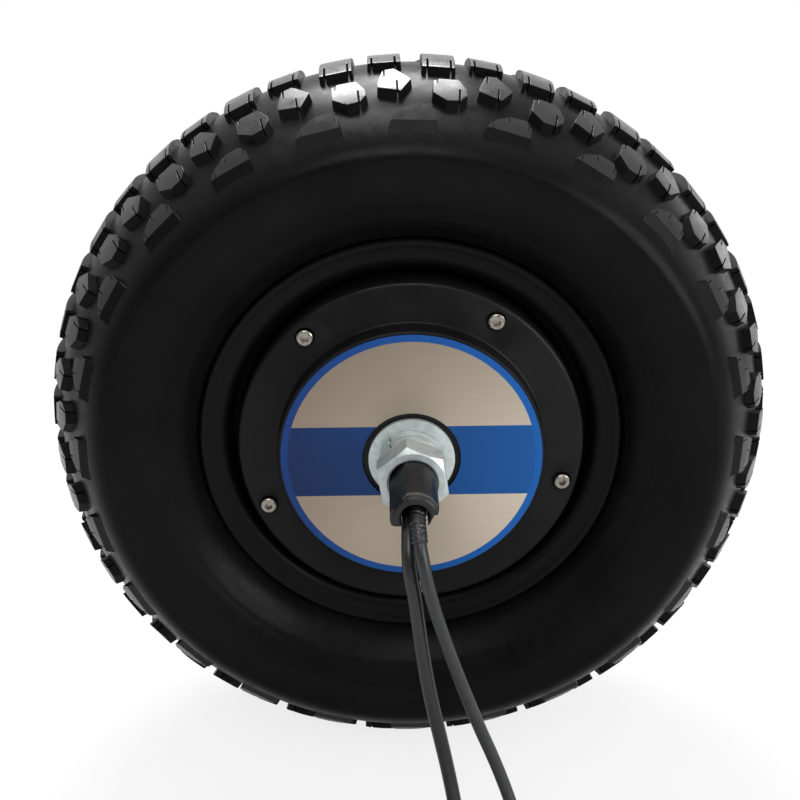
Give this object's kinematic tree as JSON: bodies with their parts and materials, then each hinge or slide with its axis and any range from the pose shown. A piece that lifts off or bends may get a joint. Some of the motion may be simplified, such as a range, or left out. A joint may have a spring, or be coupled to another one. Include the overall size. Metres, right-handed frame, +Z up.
{
  "type": "robot drive wheel",
  "caption": "Hub-motor drive wheel: knobbly air-filled tyre on a rim with the motor inside, a threaded axle with nuts, and two cables leaving the axle's end.",
  "frame": {"origin": "middle of the wheel: the axle's line where it crosses the tyre's middle plane", "axes": "+Z up from the ground, Y along the axle, the cables and the cover screws on the -Y side"},
  "size_m": [0.3988, 0.3786, 0.3988],
  "materials": {
    "tyre_rubber": "matt moulded rubber with a faint sheen",
    "rim_black": "black powder coat, satin",
    "cover_black": "black anodised, satin",
    "stainless": "turned stainless",
    "zinc": "bright zinc plate",
    "axle_black": "black oxide, fine turned lines",
    "label_face": "brushed, with printed blue",
    "bearing_steel": "ground",
    "motor_steel": "plain",
    "magnet": "nickel plate",
    "hub_alloy": "cast and turned",
    "copper": "enamelled winding wire",
    "brass": "turned",
    "cage": "pressed",
    "board": "solder mask",
    "seal_rubber": "smooth",
    "cable_sheath": "smooth plastic sheath",
    "lead_sheath": "smooth",
    "plug_black": "moulded",
    "plug_white": "moulded"
  },
  "bodies": {
    "axle": {"axle_shaft": "axle_black", "stator_key": "motor_steel", "stator_hub": "hub_alloy", "stator_core": "motor_steel", "windings": "copper", "sensor_board": "board", "board_screws": "stainless", "inner_leads": "lead_sheath", "front_inner_race": "bearing_steel", "rear_inner_race": "bearing_steel", "front_flat_washer": "zinc", "rear_flat_washer": "zinc", "front_spring_washer": "zinc", "rear_spring_washer": "zinc", "front_nut": "zinc", "rear_nut": "zinc", "cable_grommet": "seal_rubber", "power_cable": "cable_sheath", "power_cable_coil": "cable_sheath", "power_cable_tail": "cable_sheath", "power_tie": "plug_black", "power_plug": "plug_black", "sensor_cable": "cable_sheath", "sensor_cable_coil": "cable_sheath", "sensor_cable_tail": "cable_sheath", "sensor_tie": "plug_black", "sensor_plug": "plug_white"},
    "wheel": {"tyre": "tyre_rubber", "rim": "rim_black", "valve_stem": "brass", "valve_core": "brass", "valve_cap": "plug_black", "back_iron_ring": "motor_steel", "magnets": "magnet", "front_cover": "cover_black", "cover_screws": "stainless", "cover_o_ring": "seal_rubber", "label": "label_face", "front_outer_race": "bearing_steel", "rear_outer_race": "bearing_steel", "front_balls": "bearing_steel", "rear_balls": "bearing_steel", "front_cage": "cage", "rear_cage": "cage", "front_seal": "seal_rubber", "rear_seal": "seal_rubber", "sensor_magnet_ring": "magnet"}
  },
  "joints": [
    {"name": "wheel_spin", "type": "hinge", "parent": "axle", "child": "wheel", "pos_m": [0, 0, 0], "axis": [0, 1, 0], "continuous": true}
  ]
}
